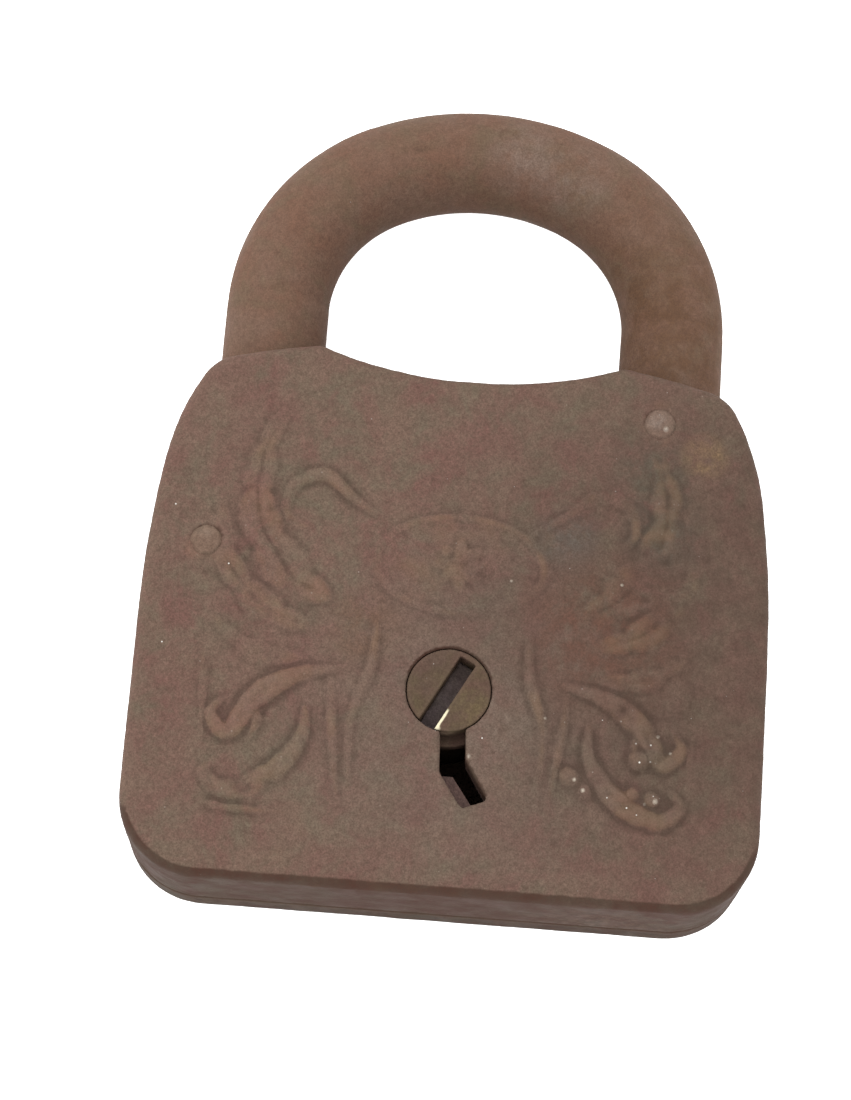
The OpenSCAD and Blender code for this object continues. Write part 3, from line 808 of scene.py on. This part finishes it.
def slot_grime():
    """Packed dirt and rust deep in the drum's key slot, with an uneven top."""
    top = DRUM_TOP - GRIME_DEPTH
    flat = []
    for i in range(GRIME_ALONG):
        for j in range(GRIME_ACROSS):
            along = -DRUM_R + 0.35 + (DRUM_R + SLOT_PAST - 0.4) * i / (GRIME_ALONG - 1)
            aside = (j / (GRIME_ACROSS - 1) - 0.5) * (SLOT_WIDTH + 0.1)
            flat.append(DRUM_MIDDLE + SLOT_WAY * along + SLOT_ASIDE * aside)
    count = len(flat)
    tops = np.column_stack([flat, np.full(count, top)])
    tops[:, 2] += 0.30 * grain(tops, 1.3, 41) + 0.12 * grain(tops, 0.5, 42)
    lows = np.column_stack([flat, np.full(count, top - GRIME_THICK)])

    faces = []
    for i in range(GRIME_ALONG - 1):
        for j in range(GRIME_ACROSS - 1):
            a, b = i * GRIME_ACROSS + j, (i + 1) * GRIME_ACROSS + j
            faces.append((a, b, b + 1, a + 1))
            faces.append((count + a, count + a + 1, count + b + 1, count + b))
    last = (GRIME_ALONG - 1) * GRIME_ACROSS
    rim = list(range(GRIME_ACROSS))
    rim += [i * GRIME_ACROSS + GRIME_ACROSS - 1 for i in range(1, GRIME_ALONG)]
    rim += [last + j for j in range(GRIME_ACROSS - 2, -1, -1)]
    rim += [i * GRIME_ACROSS for i in range(GRIME_ALONG - 2, 0, -1)]
    for a, b in zip(rim, rim[1:] + rim[:1]):
        faces.append((a, b, count + b, count + a))

    mesh = bpy.data.meshes.new("drum_slot_grime")
    mesh.from_pydata((np.concatenate([tops, lows]) * MM).tolist(), [], faces)
    mesh.validate()
    mesh.shade_smooth()
    piece = bpy.data.objects.new("drum_slot_grime", mesh)
    bpy.context.scene.collection.objects.link(piece)
    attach(piece, "drum")
    finished(piece, grime)


slot_grime()

# The CAD nodes that keep their meshes and get a material of their own
CARRIED = {
    "key_ward": ward_steel,
    "bolt": bolt_brass,
    "bolt_stump": inner_steel,
    "bolt_guides": inner_steel,
    "lever_washers": lever_brass,
    "lever_spacer": inner_steel,
    "lever_stop": inner_steel,
}
for number in range(1, 6):
    CARRIED[f"lever_{number}"] = lever_brass
    CARRIED[f"lever_spring_{number}"] = spring_steel
for node, material in CARRIED.items():
    finished(frame["nodes"][node], material)


# ---------------------------------------------------------------- floor, light, camera

FLOOR_HALF = 1.5                            # metres from the middle to each side
FLOOR_DROP = 0.05                           # how far the floor lies under the back cover
PAPER_TONES = ((0.86, 0.86, 0.86), (0.89, 0.89, 0.885))
PAPER_GLOW = 0.70                           # keeps the paper white, as it is in the photo
SKY = 1.90
WHITE = (1.0, 1.0, 1.0, 1.0)
LAMP_PLACE = (-0.24, 0.16, 0.28)            # metres
LAMP_SIZE = 0.34
LAMP_WATTS = 0.75
TILT = math.radians(17)                     # the camera leans this far towards the bottom wall
ROLL = math.radians(4.4)
TARGET = Vector((-2.98, -3.0, 0.0)) * MM
CAMERA_AWAY = 286.5
LENS = 100.145
SENSOR = 36.0


def floor():
    """The sheet of white paper that the padlock lies on."""
    mesh = bpy.data.meshes.new("floor")
    half, z = FLOOR_HALF, -FLOOR_DROP * MM
    mesh.from_pydata([(-half, -half, z), (half, -half, z), (half, half, z), (-half, half, z)],
                     [], [(0, 1, 2, 3)])
    piece = bpy.data.objects.new("floor", mesh)
    bpy.context.scene.collection.objects.link(piece)
    f = Finish("floor_paper")
    f.put(f.shader.inputs["Base Color"], f.mix(f.noise(40.0, 31), *PAPER_TONES))
    f.put(f.shader.inputs["Roughness"], 0.9)
    f.put(f.shader.inputs["Specular IOR Level"], 0.1)
    f.put(f.shader.inputs["Emission Color"], WHITE[:3])
    f.put(f.shader.inputs["Emission Strength"], PAPER_GLOW)
    finished(piece, f.material)


def sky():
    """An even white surround."""
    world = bpy.data.worlds.new("studio")
    bpy.context.scene.world = world
    world.use_nodes = True
    background = world.node_tree.nodes["Background"]
    background.inputs["Color"].default_value = WHITE
    background.inputs["Strength"].default_value = SKY


def lamp():
    """A large soft lamp at the upper left."""
    data = bpy.data.lights.new("key", "AREA")
    data.shape = "DISK"
    data.size = LAMP_SIZE
    data.energy = LAMP_WATTS
    light = bpy.data.objects.new("key", data)
    bpy.context.scene.collection.objects.link(light)
    light.location = LAMP_PLACE
    light.rotation_euler = (-Vector(LAMP_PLACE)).to_track_quat("-Z", "Y").to_euler()


def camera():
    """The photo's camera, tilted off the vertical and slightly rolled."""
    data = bpy.data.cameras.new("camera")
    data.lens = LENS
    data.sensor_width = SENSOR
    data.clip_start = 0.01
    piece = bpy.data.objects.new("camera", data)
    bpy.context.scene.collection.objects.link(piece)
    tilt_cos, tilt_sin = math.cos(TILT), math.sin(TILT)
    roll_cos, roll_sin = math.cos(ROLL), math.sin(ROLL)
    right = Vector((roll_cos, roll_sin * tilt_cos, roll_sin * tilt_sin))
    up = Vector((-roll_sin, roll_cos * tilt_cos, roll_cos * tilt_sin))
    back = Vector((0, -tilt_sin, tilt_cos))
    turn = Matrix((right, up, back)).transposed().to_4x4()
    piece.matrix_world = Matrix.Translation(TARGET + back * CAMERA_AWAY * MM) @ turn
    bpy.context.scene.camera = piece


floor()
sky()
lamp()
camera()
bpy.context.scene.view_settings.view_transform = "Standard"
